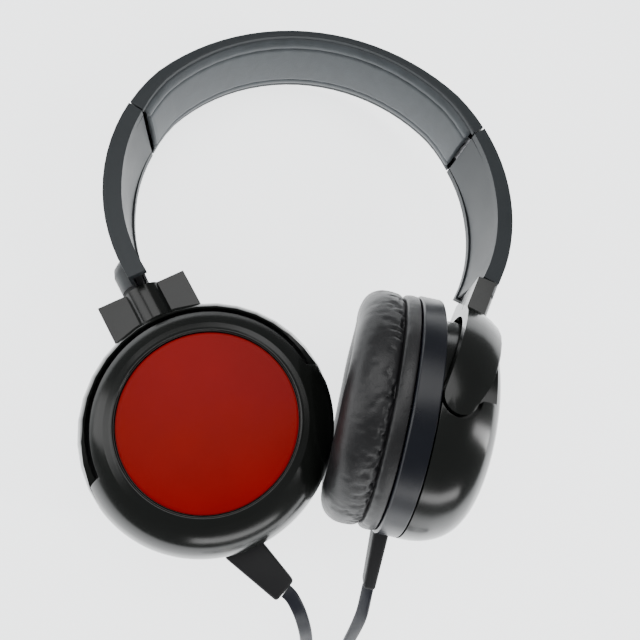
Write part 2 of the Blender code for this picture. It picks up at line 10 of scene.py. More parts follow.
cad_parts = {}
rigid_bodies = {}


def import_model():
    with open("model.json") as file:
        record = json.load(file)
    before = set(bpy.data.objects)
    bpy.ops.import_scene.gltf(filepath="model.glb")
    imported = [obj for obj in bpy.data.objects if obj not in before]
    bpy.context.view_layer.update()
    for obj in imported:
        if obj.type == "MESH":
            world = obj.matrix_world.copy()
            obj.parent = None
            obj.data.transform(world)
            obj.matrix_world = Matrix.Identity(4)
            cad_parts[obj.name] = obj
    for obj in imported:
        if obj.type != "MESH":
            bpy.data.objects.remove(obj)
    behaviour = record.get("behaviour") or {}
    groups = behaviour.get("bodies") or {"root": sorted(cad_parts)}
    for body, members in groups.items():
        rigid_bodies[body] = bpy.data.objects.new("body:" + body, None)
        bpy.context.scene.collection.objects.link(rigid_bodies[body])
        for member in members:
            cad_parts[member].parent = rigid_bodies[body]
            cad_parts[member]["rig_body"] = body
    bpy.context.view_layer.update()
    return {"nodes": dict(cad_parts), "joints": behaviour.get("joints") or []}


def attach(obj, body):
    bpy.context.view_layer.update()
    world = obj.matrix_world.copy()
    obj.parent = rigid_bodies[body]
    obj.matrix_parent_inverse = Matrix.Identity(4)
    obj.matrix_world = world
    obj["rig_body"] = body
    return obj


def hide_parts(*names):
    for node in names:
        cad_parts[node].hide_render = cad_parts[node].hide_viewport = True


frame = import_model()

# --- Table, lights and camera ---------------------------------------------------------
# The headphones lie on a plain pale table under a soft light from above. Weaker ones at
# the left, the right and the front give the polished parts their soft edges.

MM = 0.001


def soft_light(name, place, aim, size, power, colour=(1, 1, 1)):
    light = bpy.data.lights.new(name, "AREA")
    light.shape = "RECTANGLE"
    light.size, light.size_y = size
    light.energy = power
    light.color = colour
    made = bpy.data.objects.new(name, light)
    made.location = place
    made.rotation_euler = (Vector(aim) - Vector(place)).to_track_quat("-Z", "Y").to_euler()
    bpy.context.scene.collection.objects.link(made)


soft_light("overhead_softbox", (-0.1, 0.35, 0.8), (0, 0, 0), (0.7, 0.5), 3.2)
soft_light("left_softbox", (-0.75, 0.1, 0.45), (0, 0, 0.03), (0.35, 0.8), 2.6)
soft_light("right_strip", (0.7, -0.25, 0.4), (0.02, 0, 0.04), (0.12, 0.7), 3.0)
soft_light("front_strip", (0.1, -0.7, 0.3), (0, 0, 0.04), (0.6, 0.12), 1.5)

world = bpy.data.worlds.new("pale_room")
world.use_nodes = True
world.node_tree.nodes["Background"].inputs["Color"].default_value = (0.93, 0.95, 0.96, 1)
world.node_tree.nodes["Background"].inputs["Strength"].default_value = 0.3
bpy.context.scene.world = world

camera_data = bpy.data.cameras.new("camera")
camera_data.lens = 29.45
camera_data.sensor_width = 36.0
camera_data.clip_start = 0.01
camera = bpy.data.objects.new("camera", camera_data)
camera.location = (-51.06 * MM, -29.16 * MM, 216.14 * MM)
camera.rotation_euler = [math.radians(a) for a in (5.78, -16.31, -0.72)]
bpy.context.scene.collection.objects.link(camera)
bpy.context.scene.camera = camera


def new_material(name, colour, roughness, metallic=0.0):
    made = bpy.data.materials.new(name)
    made.use_nodes = True
    shader = made.node_tree.nodes["Principled BSDF"]
    shader.inputs["Base Color"].default_value = (*colour, 1)
    shader.inputs["Roughness"].default_value = roughness
    shader.inputs["Metallic"].default_value = metallic
    return made, made.node_tree.nodes, made.node_tree.links, shader


def as_object(bm, name, *materials, smooth_angle=35):
    """A new piece from a bmesh, smooth except over edges sharper than the angle."""
    mesh = bpy.data.meshes.new(name)
    bm.to_mesh(mesh)
    bm.free()
    for material in materials:
        mesh.materials.append(material)
    mesh.shade_smooth()
    mesh.set_sharp_from_angle(angle=math.radians(smooth_angle))
    made = bpy.data.objects.new(name, mesh)
    bpy.context.scene.collection.objects.link(made)
    return made


paper, _, _, paper_shader = new_material("pale_table", (0.86, 0.865, 0.87), 0.7)
paper_shader.inputs["Emission Color"].default_value = (0.95, 0.97, 0.98, 1)
paper_shader.inputs["Emission Strength"].default_value = 2.4
sweep = bmesh.new()
bmesh.ops.create_grid(sweep, x_segments=2, y_segments=2, size=3.0)
table_top = as_object(sweep, "table_top", paper)

# --- Moulded plastic finishes ----------------------------------------------------------
# The band and arms are a satin slate grey polycarbonate, the cups and yokes a polished
# black one, and the band round each cup a semi-gloss navy. All show a faint mould grain,
# handling marks that change the gloss, and a little dust.

grain = bpy.data.node_groups.new("mould_grain", "ShaderNodeTree")
for socket_name, socket_type in (
    ("Scale", "NodeSocketFloat"),
    ("Gloss Low", "NodeSocketFloat"),
    ("Gloss High", "NodeSocketFloat"),
    ("Smear Scale", "NodeSocketFloat"),
):
    grain.interface.new_socket(socket_name, in_out="INPUT", socket_type=socket_type)
grain.interface.new_socket("Roughness", in_out="OUTPUT", socket_type="NodeSocketFloat")
grain.interface.new_socket("Height", in_out="OUTPUT", socket_type="NodeSocketFloat")
grain.interface.new_socket("Tone", in_out="OUTPUT", socket_type="NodeSocketFloat")
g_in = grain.nodes.new("NodeGroupInput")
g_out = grain.nodes.new("NodeGroupOutput")
g_place = grain.nodes.new("ShaderNodeTexCoord")
g_smear = grain.nodes.new("ShaderNodeTexNoise")
g_smear.inputs["Detail"].default_value = 5.0
g_smear.inputs["Roughness"].default_value = 0.65
g_fine = grain.nodes.new("ShaderNodeTexNoise")
g_fine.inputs["Detail"].default_value = 2.0
g_range = grain.nodes.new("ShaderNodeMapRange")
g_range.inputs["From Min"].default_value = 0.3
g_range.inputs["From Max"].default_value = 0.75
grain.links.new(g_place.outputs["Object"], g_smear.inputs["Vector"])
grain.links.new(g_place.outputs["Object"], g_fine.inputs["Vector"])
grain.links.new(g_in.outputs["Smear Scale"], g_smear.inputs["Scale"])
grain.links.new(g_in.outputs["Scale"], g_fine.inputs["Scale"])
grain.links.new(g_smear.outputs["Fac"], g_range.inputs["Value"])
grain.links.new(g_in.outputs["Gloss Low"], g_range.inputs["To Min"])
grain.links.new(g_in.outputs["Gloss High"], g_range.inputs["To Max"])
grain.links.new(g_range.outputs["Result"], g_out.inputs["Roughness"])
grain.links.new(g_fine.outputs["Fac"], g_out.inputs["Height"])
grain.links.new(g_smear.outputs["Fac"], g_out.inputs["Tone"])


def moulded(name, colour, gloss, scale, depth, smear=60.0, metallic=0.0, lift=1.35):
    """Plastic with a base colour that varies slightly and a grain of the given depth."""
    made, nodes, links, shader = new_material(name, colour, gloss[0], metallic)
    shader.inputs["Specular IOR Level"].default_value = 0.5 if metallic else 0.36
    surface = nodes.new("ShaderNodeGroup")
    surface.node_tree = grain
    surface.inputs["Scale"].default_value = scale
    surface.inputs["Smear Scale"].default_value = smear
    surface.inputs["Gloss Low"].default_value = gloss[0]
    surface.inputs["Gloss High"].default_value = gloss[1]
    tone = nodes.new("ShaderNodeMix")
    tone.data_type = "RGBA"
    tone.inputs["A"].default_value = (*colour, 1)
    tone.inputs["B"].default_value = (*[c * lift for c in colour], 1)
    bump = nodes.new("ShaderNodeBump")
    bump.inputs["Strength"].default_value = depth
    bump.inputs["Distance"].default_value = 0.0001
    links.new(surface.outputs["Tone"], tone.inputs["Factor"])
    links.new(tone.outputs["Result"], shader.inputs["Base Color"])
    links.new(surface.outputs["Roughness"], shader.inputs["Roughness"])
    links.new(surface.outputs["Height"], bump.inputs["Height"])
    links.new(bump.outputs["Normal"], shader.inputs["Normal"])
    return made


satin = moulded("satin_slate_plastic", (0.021, 0.025, 0.028), (0.4, 0.5), 5200, 0.22)
gloss = moulded("polished_black_plastic", (0.006, 0.0068, 0.006), (0.16, 0.24), 900, 0.02)
navy = moulded("semi_gloss_navy_plastic", (0.005, 0.006, 0.01), (0.26, 0.36), 2600, 0.08)
black = moulded("matt_black_plastic", (0.008, 0.008, 0.009), (0.5, 0.62), 5200, 0.25)

# --- Headband shell and arms -----------------------------------------------------------
# One curved channel moulding runs over the crown, and an arm of the same plastic slides
# out of each end. Their edges are broken by a small radius, and a hair joint shows where
# the arms butt against the shell.


def fine_copy(node, material, edge, name=None, sharp=38, segments=3):
    """A CAD node with its triangles merged and its sharp edges rounded."""
    source = frame["nodes"][node]
    bm = bmesh.new()
    bm.from_mesh(source.data)
    bmesh.ops.remove_doubles(bm, verts=bm.verts, dist=0.00002)
    bmesh.ops.dissolve_limit(
        bm, angle_limit=math.radians(1.5), verts=bm.verts, edges=bm.edges
    )
    if edge:
        crisp = [
            e for e in bm.edges
            if len(e.link_faces) == 2 and e.calc_face_angle(0) > math.radians(sharp)
        ]
        bmesh.ops.bevel(
            bm, geom=crisp, offset=edge, offset_type="OFFSET", affect="EDGES",
            segments=segments, profile=0.5, material=-1, clamp_overlap=True,
        )
    made = as_object(bm, name or node + "_moulding", material, smooth_angle=30)
    weighted = made.modifiers.new("even_faces", "WEIGHTED_NORMAL")
    weighted.keep_sharp = True
    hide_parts(node)
    return made


def rides_with(piece, node):
    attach(piece, frame["nodes"][node]["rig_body"])
    return piece


rides_with(fine_copy("headband_shell", satin, 0.5 * MM), "headband_shell")
for side in ("left", "right"):
    rides_with(fine_copy(side + "_arm_shell", satin, 0.45 * MM), side + "_arm_shell")
    cover = side + "_arm_inner_cover"
    rides_with(fine_copy(cover, satin, 0.2 * MM), cover)
    frame["nodes"][side + "_swivel_hub"].data.materials[0] = black

# --- Padded liner of the headband -------------------------------------------------------
# A strip of thin foam under slate grey leatherette, tucked in behind the rims of the
# shell. It is crowned across its width, with a stitched channel along each side.

leather_grain = bpy.data.node_groups.new("leather_grain", "ShaderNodeTree")
leather_grain.interface.new_socket("Cell Scale", in_out="INPUT", socket_type="NodeSocketFloat")
leather_grain.interface.new_socket("Crease Scale", in_out="INPUT", socket_type="NodeSocketFloat")
leather_grain.interface.new_socket("Height", in_out="OUTPUT", socket_type="NodeSocketFloat")
leather_grain.interface.new_socket("Creases", in_out="OUTPUT", socket_type="NodeSocketFloat")
l_in = leather_grain.nodes.new("NodeGroupInput")
l_out = leather_grain.nodes.new("NodeGroupOutput")
l_place = leather_grain.nodes.new("ShaderNodeTexCoord")
l_cells = leather_grain.nodes.new("ShaderNodeTexVoronoi")
l_cells.feature = "DISTANCE_TO_EDGE"
l_crease = leather_grain.nodes.new("ShaderNodeTexNoise")
l_crease.inputs["Detail"].default_value = 6.0
l_crease.inputs["Distortion"].default_value = 0.8
l_sum = leather_grain.nodes.new("ShaderNodeMath")
l_sum.operation = "MULTIPLY_ADD"
l_sum.inputs[1].default_value = 0.7
leather_grain.links.new(l_place.outputs["Object"], l_cells.inputs["Vector"])
leather_grain.links.new(l_place.outputs["Object"], l_crease.inputs["Vector"])
leather_grain.links.new(l_in.outputs["Cell Scale"], l_cells.inputs["Scale"])
leather_grain.links.new(l_in.outputs["Crease Scale"], l_crease.inputs["Scale"])
leather_grain.links.new(l_cells.outputs["Distance"], l_sum.inputs[0])
leather_grain.links.new(l_crease.outputs["Fac"], l_sum.inputs[2])
leather_grain.links.new(l_sum.outputs["Value"], l_out.inputs["Height"])
leather_grain.links.new(l_crease.outputs["Fac"], l_out.inputs["Creases"])


def leatherette(name, colour, rough, cells, creases, depth):
    made, nodes, links, shader = new_material(name, colour, rough[0])
    surface = nodes.new("ShaderNodeGroup")
    surface.node_tree = leather_grain
    surface.inputs["Cell Scale"].default_value = cells
    surface.inputs["Crease Scale"].default_value = creases
    tone = nodes.new("ShaderNodeMix")
    tone.data_type = "RGBA"
    tone.inputs["A"].default_value = (*[c * 0.7 for c in colour], 1)
    tone.inputs["B"].default_value = (*[c * 1.5 for c in colour], 1)
    sheen = nodes.new("ShaderNodeMapRange")
    sheen.inputs["To Min"].default_value = rough[0]
    sheen.inputs["To Max"].default_value = rough[1]
    bump = nodes.new("ShaderNodeBump")
    bump.inputs["Strength"].default_value = depth
    bump.inputs["Distance"].default_value = 0.0003
    links.new(surface.outputs["Creases"], tone.inputs["Factor"])
    links.new(tone.outputs["Result"], shader.inputs["Base Color"])
    links.new(surface.outputs["Creases"], sheen.inputs["Value"])
    links.new(sheen.outputs["Result"], shader.inputs["Roughness"])
    links.new(surface.outputs["Height"], bump.inputs["Height"])
    links.new(bump.outputs["Normal"], shader.inputs["Normal"])
    return made


black_leather = leatherette("black_leatherette", (0.009, 0.009, 0.01), (0.3, 0.5), 1500, 140, 0.35)
grey_leather = leatherette("slate_leatherette", (0.05, 0.058, 0.064), (0.42, 0.6), 1500, 160, 0.3)

BAND_DEPTH = 28.0 * MM
SHELL_ENDS = 57.6
LINER_SPAN = 56.4
TABLE_POSE = (
    Matrix.Translation((2.3 * MM, 21.8 * MM, 30.2 * MM))
    @ Matrix.Rotation(math.radians(-6.46), 4, "Y")
    @ Matrix.Rotation(math.radians(-9.87), 4, "X")
)


def band_radius(angle):
    """From the crown's centre to the outer face of the headband, by angle in degrees."""
    return (80.7 - 12.7 * (max(0.0, abs(angle) - 45.0) / 65.0) ** 1.28) * MM


def rim_depth(angle):
    return (2.6 + 2.8 * (abs(angle) / SHELL_ENDS) ** 2) * MM


def band_place(angle, inset, depth):
    turn = math.radians(angle)
    reach = band_radius(angle) - inset
    return TABLE_POSE @ Vector((reach * math.sin(turn), reach * math.cos(turn), depth))


strip = bmesh.new()
bmesh.ops.create_grid(strip, x_segments=180, y_segments=36, size=1.0)
for vert in strip.verts:
    along, across = vert.co.x, vert.co.y
    angle = along * LINER_SPAN
    side_fall = max(0.0, (abs(across) - 0.8) / 0.2) ** 2
    end_fall = max(0.0, (abs(along) - 0.985) / 0.015) ** 2
    crown = 0.75 * MM * (1 - across * across) * (1 - end_fall)
    channel = 0.35 * MM * math.exp(-(((abs(across) - 0.72) / 0.035) ** 2))
    pucker = 0.06 * MM * math.sin(angle * 9.0) * math.exp(-(((abs(across) - 0.72) / 0.1) ** 2))
    inset = rim_depth(angle) + 0.35 * MM + crown - channel + pucker
    inset -= 1.1 * MM * side_fall + 0.5 * MM * end_fall
    vert.co = band_place(angle, inset, across * (BAND_DEPTH / 2 - 2.1 * MM))
bmesh.ops.recalc_face_normals(strip, faces=strip.faces)
liner = as_object(strip, "headband_pad", grey_leather)
wall = liner.modifiers.new("foam", "SOLIDIFY")
wall.thickness = 0.9 * MM
wall.offset = -1.0
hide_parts("headband_liner")
rides_with(liner, "headband_liner")

# --- Cups: polished outer shells ---------------------------------------------------------
# Each cup's back is a polished black dome with a raised bezel round its middle. The half
# ring of the yoke lies in a step cut round its upper side, behind a thin shadow gap.

TILT_REST = {"left": 0.0, "right": 12.5}
ROUND = 160
JOINTS = {joint["name"]: joint for joint in frame["joints"]}


def yoke_place(side):
    """X along the tilt axis, Y up the swivel and Z out of the cup, at the cup's middle."""
    tilt, swivel = JOINTS[side + "_tilt"], JOINTS[side + "_swivel"]
    x_axis = -Vector(tilt["axis"]).normalized()
    y_axis = Vector(swivel["axis"]).normalized()
    z_axis = x_axis.cross(y_axis).normalized()
    turn = Matrix((x_axis, y_axis, z_axis)).transposed().to_4x4()
    return Matrix.Translation(tilt["pos_m"]) @ turn


def cup_place(side):
    return yoke_place(side) @ Matrix.Rotation(math.radians(-TILT_REST[side]), 4, "X")


def turned(profile, place, steps=ROUND, closed=False):
    """A profile of radius and height pairs in millimetres, spun into a closed form."""
    bm = bmesh.new()
    verts = [bm.verts.new((r * MM, 0, z * MM)) for r, z in profile]
    edges = [bm.edges.new(pair) for pair in zip(verts, verts[1:])]
    if closed:
        edges.append(bm.edges.new((verts[-1], verts[0])))
    bmesh.ops.spin(
        bm, geom=verts + edges, cent=(0, 0, 0), axis=(0, 0, 1), angle=math.tau,
        steps=steps, use_merge=True,
    )
    bmesh.ops.remove_doubles(bm, verts=bm.verts, dist=0.000005)
    bmesh.ops.recalc_face_normals(bm, faces=bm.faces)
    bmesh.ops.transform(bm, matrix=place, verts=bm.verts)
    return bm


def arc(centre, radius, start, end, count=6):
    """Points round part of a circle, for a rounded corner of a profile, in degrees."""
    angles = [math.radians(start + (end - start) * i / count) for i in range(count + 1)]
    return [(centre[0] + radius * math.cos(a), centre[1] + radius * math.sin(a)) for a in angles]


SIDE_CURVE = [
    (41.5, -4.6), (41.5, -2.0), (41.1, 1.5), (40.1, 5.0), (38.6, 8.2), (36.3, 11.2),
    (33.3, 13.5), (30.6, 14.8),
]


def through(points, count=6):
    """A smooth line through the points of a profile."""
    ends = [points[0]] + points + [points[-1]]
    line = []
    for before, start, end, after in zip(ends, ends[1:], ends[2:], ends[3:]):
        for i in range(count):
            t = i / count
            line.append(tuple(
                0.5 * (2 * s + (e - b) * t + (2 * b - 5 * s + 4 * e - a) * t * t
                       + (3 * s - b - 3 * e + a) * t**3)
                for b, s, e, a in zip(before, start, end, after)
            ))
    return line + [points[-1]]


def extruded(outline, half, place):
    """An outline in the YZ plane, carried the same way to both sides of it."""
    bm = bmesh.new()
    face = bm.faces.new([bm.verts.new((-half, y * MM, z * MM)) for y, z in outline])
    swept = bmesh.ops.extrude_face_region(bm, geom=[face])
    moved = [g for g in swept["geom"] if isinstance(g, bmesh.types.BMVert)]
    bmesh.ops.translate(bm, vec=(2 * half, 0, 0), verts=moved)
    bmesh.ops.recalc_face_normals(bm, faces=bm.faces)
    bmesh.ops.transform(bm, matrix=place, verts=bm.verts)
    return bm


def block(size, centre, place, edge=0.0):
    bm = bmesh.new()
    bmesh.ops.create_cube(bm, size=1.0)
    bmesh.ops.scale(bm, vec=[s * MM for s in size], verts=bm.verts)
    bmesh.ops.translate(bm, vec=[c * MM for c in centre], verts=bm.verts)
    if edge:
        bmesh.ops.bevel(
            bm, geom=bm.edges[:], offset=edge * MM, affect="EDGES", segments=3, profile=0.5,
            material=-1,
        )
    bmesh.ops.transform(bm, matrix=place, verts=bm.verts)
    return bm


def post(radius, depth, place, steps=48, far=None):
    bm = bmesh.new()
    bmesh.ops.create_cone(
        bm, cap_ends=True, segments=steps, radius1=radius * MM,
        radius2=(radius if far is None else far) * MM, depth=depth * MM, matrix=place,
    )
    return bm


def carved(bm, steps):
    """The form after each (kind, cutter) has been joined to it or cut from it."""
    work = as_object(bm, "work")
    cutters = []
    for kind, cutter_mesh in steps:
        cutter = as_object(cutter_mesh, "cutter")
        cutters.append(cutter)
        change = work.modifiers.new(kind, "BOOLEAN")
        change.operation = kind
        change.object = cutter
        change.solver = "EXACT"
    bpy.context.view_layer.update()
    evaluated = work.evaluated_get(bpy.context.evaluated_depsgraph_get())
    result = bmesh.new()
    result.from_mesh(evaluated.to_mesh())
    evaluated.to_mesh_clear()
    for old in cutters + [work]:
        bpy.data.objects.remove(old, do_unlink=True)
    bmesh.ops.remove_doubles(result, verts=result.verts, dist=0.00001)
    return result


def broken_edges(bm, edge, sharp=40, segments=3):
    """Rounds the edges sharper than the angle."""
    crisp = [
        e for e in bm.edges
        if len(e.link_faces) == 2 and e.calc_face_angle(0) > math.radians(sharp)
    ]
    bmesh.ops.bevel(
        bm, geom=crisp, offset=edge * MM, affect="EDGES", segments=segments, profile=0.5,
        material=-1, clamp_overlap=True,
    )
    return bm


def below_tips(radius, upper):
    """The part of the cup that lies below the yoke's rounded tips, as an outline."""
    tip = [
        (-radius * math.sin(math.radians(t)), 0.9 - radius * math.cos(math.radians(t)))
        for t in range(0, 181, 6)
    ]
    outline = [(0, -30)] + tip + [(6, 7.8 + upper), (20, 9.4 + upper), (20, 45)]
    return [(y - 0.15, z) for y, z in outline + [(-70, 45), (-70, -30)]]


for side in ("left", "right"):
    here = cup_place(side)
    dome = turned(
        [(0, 13.4), (27.6, 13.4), (27.75, 14.6)] + arc((28.3, 14.75), 0.45, 200, 60, 6)
        + [(29.2, 14.95)] + through(SIDE_CURVE)[::-1] + [(33.7, -4.6), (33.7, 7.5), (31, 10.6)]
        + [(26, 12.2), (0, 12.2)],
        here,
    )
    ring = turned(
        [(34.9, 20), (50, 20), (50, -8), (34.9, -8)], here, closed=True
    )
    recess = carved(ring, [("DIFFERENCE", extruded(below_tips(6.4, 30), 70 * MM, here))])
    holes = [
        ("DIFFERENCE", post(1.9, 8, here @ Matrix.Translation((end * 35.8 * MM, 0, 0))
                            @ Matrix.Rotation(math.pi / 2, 4, "Y")))
        for end in (1, -1)
    ]
    shell = broken_edges(carved(dome, [("DIFFERENCE", recess)] + holes), 0.25, 50)
    piece = as_object(shell, side + "_dome", gloss, smooth_angle=32)
    weighted = piece.modifiers.new("even_faces", "WEIGHTED_NORMAL")
    weighted.keep_sharp = True
    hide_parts(side + "_outer_shell")
    rides_with(piece, side + "_outer_shell")

# --- Yokes ---------------------------------------------------------------------------------
# A polished black half ring carries each cup on two pins, and a block at its top takes the
# swivel pin. Each is one moulding, and its sharp edges are rounded a little.

YOKE_EDGE = 0.3 * MM
for side in ("left", "right"):
    piece = fine_copy(side + "_yoke", gloss, YOKE_EDGE)
    rides_with(piece, side + "_yoke")

# --- Red discs ------------------------------------------------------------------------------
# A shallow metal disc, spun on a lathe and lacquered dark red, is pressed into the bezel of
# each cup. Its fine turning marks spread highlights out along the radius.


def disc_finish(side):
    made, nodes, links, shader = new_material(
        side + "_spun_red_lacquer", (0.27, 0.0006, 0.0003), 0.42, 0.0
    )
    shader.inputs["Specular IOR Level"].default_value = 0.1
    centre = cup_place(side)
    place = nodes.new("ShaderNodeTexCoord")
    move = nodes.new("ShaderNodeMapping")
    move.vector_type = "TEXTURE"
    move.inputs["Location"].default_value = centre.translation
    move.inputs["Rotation"].default_value = centre.to_euler()
    parts = nodes.new("ShaderNodeSeparateXYZ")
    squared = nodes.new("ShaderNodeCombineXYZ")
    length = nodes.new("ShaderNodeVectorMath")
    length.operation = "LENGTH"
    rings = nodes.new("ShaderNodeTexNoise")
    rings.noise_dimensions = "1D"
    rings.inputs["Scale"].default_value = 9000.0
    rings.inputs["Detail"].default_value = 3.0
    bump = nodes.new("ShaderNodeBump")
    bump.inputs["Strength"].default_value = 0.16
    bump.inputs["Distance"].default_value = 0.00005
    blotch = nodes.new("ShaderNodeTexNoise")
    blotch.inputs["Scale"].default_value = 45.0
    blotch.inputs["Detail"].default_value = 4.0
    tone = nodes.new("ShaderNodeMix")
    tone.data_type = "RGBA"
    tone.inputs["A"].default_value = (0.24, 0.0005, 0.0003, 1)
    tone.inputs["B"].default_value = (0.33, 0.0012, 0.0006, 1)
    sheen = nodes.new("ShaderNodeMapRange")
    sheen.inputs["To Min"].default_value = 0.26
    sheen.inputs["To Max"].default_value = 0.42
    links.new(place.outputs["Object"], move.inputs["Vector"])
    links.new(move.outputs["Vector"], parts.inputs["Vector"])
    links.new(parts.outputs["X"], squared.inputs["X"])
    links.new(parts.outputs["Y"], squared.inputs["Y"])
    links.new(squared.outputs["Vector"], length.inputs[0])
    links.new(length.outputs["Value"], rings.inputs["W"])
    links.new(rings.outputs["Fac"], bump.inputs["Height"])
    links.new(bump.outputs["Normal"], shader.inputs["Normal"])
    links.new(move.outputs["Vector"], blotch.inputs["Vector"])
    links.new(blotch.outputs["Fac"], tone.inputs["Factor"])
    links.new(tone.outputs["Result"], shader.inputs["Base Color"])
    links.new(rings.outputs["Fac"], sheen.inputs["Value"])
    links.new(sheen.outputs["Result"], shader.inputs["Roughness"])
    return made


for side in ("left", "right"):
    form = turned(
        [(0, 14.75), (12, 14.73), (20, 14.7), (26.4, 14.62)] + arc((26.9, 14.1), 0.5, 80, 0, 6)
        + [(27.4, 13.7), (0, 13.7)],
        cup_place(side),
    )
    piece = as_object(form, side + "_spun_disc", disc_finish(side))
    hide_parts(side + "_red_cap")
    rides_with(piece, side + "_red_cap")

# --- Side rings -------------------------------------------------------------------------------
# A semi-gloss navy band closes the back of each cup. Its two corners are chamfered, and the
# strain relief is let into a slot in it.

for side in ("left", "right"):
    here = cup_place(side)
    band = turned(
        [(34.6, -4.9), (41.0, -4.9), (41.35, -5.05), (41.5, -5.4), (41.5, -11.7), (41.25, -12.1)]
        + [(40.7, -12.4), (38.5, -12.4), (38.5, -6.5), (34.6, -6.5)],
        here, closed=True,
    )
    at = {"left": -14.5, "right": 14.5}[side]
    lie = math.radians(16.5)
    root = Vector((38.9 * math.sin(math.radians(at)), -38.9 * math.cos(math.radians(at)), -8.9))
    relief_place = (
        here @ Matrix.Translation(root * MM) @ Matrix.Rotation(lie, 4, "Z")
        @ Matrix.Rotation(math.pi / 2, 4, "X")
    )
    slot = block((12.8, 6.0, 24), (0, 0, 11.7), relief_place)
    piece = as_object(carved(band, [("DIFFERENCE", slot)]), side + "_side_band", navy,
                      smooth_angle=32)
    weighted = piece.modifiers.new("even_faces", "WEIGHTED_NORMAL")
    weighted.keep_sharp = True
    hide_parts(side + "_side_ring")
    rides_with(piece, side + "_side_ring")
    # The relief itself: a flat soft wedge with rounded edges, moulded on the cord's end.
    wedge = bmesh.new()
    bmesh.ops.create_cube(wedge, size=1.0)
    bmesh.ops.translate(wedge, vec=(0, 0, 0.5), verts=wedge.verts)
    for vert in wedge.verts:
        wide, thick = (8.2, 4.2) if vert.co.z > 0.5 else (12.2, 5.4)
        vert.co.x *= wide * MM
        vert.co.y *= thick * MM
        vert.co.z *= 22.0 * MM
    bmesh.ops.bevel(
        wedge, geom=wedge.edges[:], offset=1.1 * MM, affect="EDGES", segments=5, profile=0.5,
        material=-1,
    )
    bmesh.ops.transform(wedge, matrix=relief_place, verts=wedge.verts)
    piece = as_object(wedge, side + "_relief_moulding", black)
    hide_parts(side + "_strain_relief")
    rides_with(piece, side + "_strain_relief")

# --- Ear pads -----------------------------------------------------------------------------------
# Each pad is a soft foam ring sewn up in black leatherette. A skirt stretches over the lip of
# the cup, and the cover gathers into small folds at the dark seam between skirt and cushion.


def pad_form(side):
    low, groove, face = -12.7, -17.6, -31.8
    outside = through(
        [(39.9, low), (40.75, low - 0.15), (41.0, low - 1.4), (40.95, groove + 1.9),
         (40.5, groove + 0.55), (39.2, groove)], 5,
    )
    cushion = through(
        [(39.2, groove), (39.9, groove - 0.7), (40.6, groove - 2.2), (40.9, groove - 5.0),
         (40.6, face + 6.0), (39.2, face + 3.1), (36.6, face + 1.0), (32.6, face),
         (28.4, face + 0.9), (25.4, face + 3.4), (23.7, face + 7.0), (23.2, face + 11.0),
         (23.9, -16.4), (25.2, -14.6)], 6,
    )
    bm = turned(outside + cushion[1:] + [(39.6, -14.5)], Matrix.Identity(4), 300, closed=True)
    shift = 0.0 if side == "left" else 37.0
    for vert in bm.verts:
        x, y, z = vert.co / MM
        around = math.atan2(y, x)
        reach = math.hypot(x, y)
        from_seam = groove - z
        spot = Vector((math.cos(around) * 7 + shift, math.sin(around) * 7, z * 0.06))
        gather = noise.noise(spot * 4.3) + 0.55 * noise.noise(spot * 8.6)
        soft = noise.noise(Vector((x * 0.07 + shift, y * 0.07, z * 0.07)))
        fold = 0.0
        if reach > 30 and from_seam > 0:
            fold = 1.0 * math.exp(-(from_seam / 4.6)) * min(1.0, from_seam / 0.5)
        elif reach > 30:
            fold = 0.24 * math.exp(from_seam / 1.6)
        inner = 0.4 * math.exp(-(((reach - 23.5) / 2.2) ** 2)) if z < -15 else 0.0
        out = Vector((math.cos(around), math.sin(around), 0)) * (gather * fold - abs(gather) * fold)
        out -= Vector((math.cos(around), math.sin(around), 0)) * gather * inner
        out.z += soft * 0.35 * (1.0 if z < groove - 3 else 0.0)
        vert.co += out * MM
    bmesh.ops.transform(bm, matrix=cup_place(side), verts=bm.verts)
    return bm


for side in ("left", "right"):
    piece = as_object(pad_form(side), side + "_pad_cushion", black_leather, smooth_angle=60)
    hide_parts(side + "_ear_pad")
    rides_with(piece, side + "_ear_pad")

# --- Inside the cups ------------------------------------------------------------------------------
# Behind the pad a black cloth covers the moulded baffle, which carries the driver in a frame
# of its own. These parts keep their plain forms and are finished as cloth, film and metal.

cloth, nodes, links, shader = new_material("black_speaker_cloth", (0.006, 0.006, 0.006), 0.85)
place = nodes.new("ShaderNodeTexCoord")
weave = nodes.new("ShaderNodeTexVoronoi")
weave.inputs["Scale"].default_value = 1400.0
weave.inputs["Randomness"].default_value = 0.15
tone = nodes.new("ShaderNodeMix")
tone.data_type = "RGBA"
tone.inputs["A"].default_value = (0.012, 0.012, 0.013, 1)
tone.inputs["B"].default_value = (0.002, 0.002, 0.002, 1)
bump = nodes.new("ShaderNodeBump")
bump.inputs["Strength"].default_value = 0.5
bump.inputs["Distance"].default_value = 0.0003
links.new(place.outputs["Object"], weave.inputs["Vector"])
links.new(weave.outputs["Distance"], tone.inputs["Factor"])
links.new(tone.outputs["Result"], shader.inputs["Base Color"])
links.new(weave.outputs["Distance"], bump.inputs["Height"])
links.new(bump.outputs["Normal"], shader.inputs["Normal"])

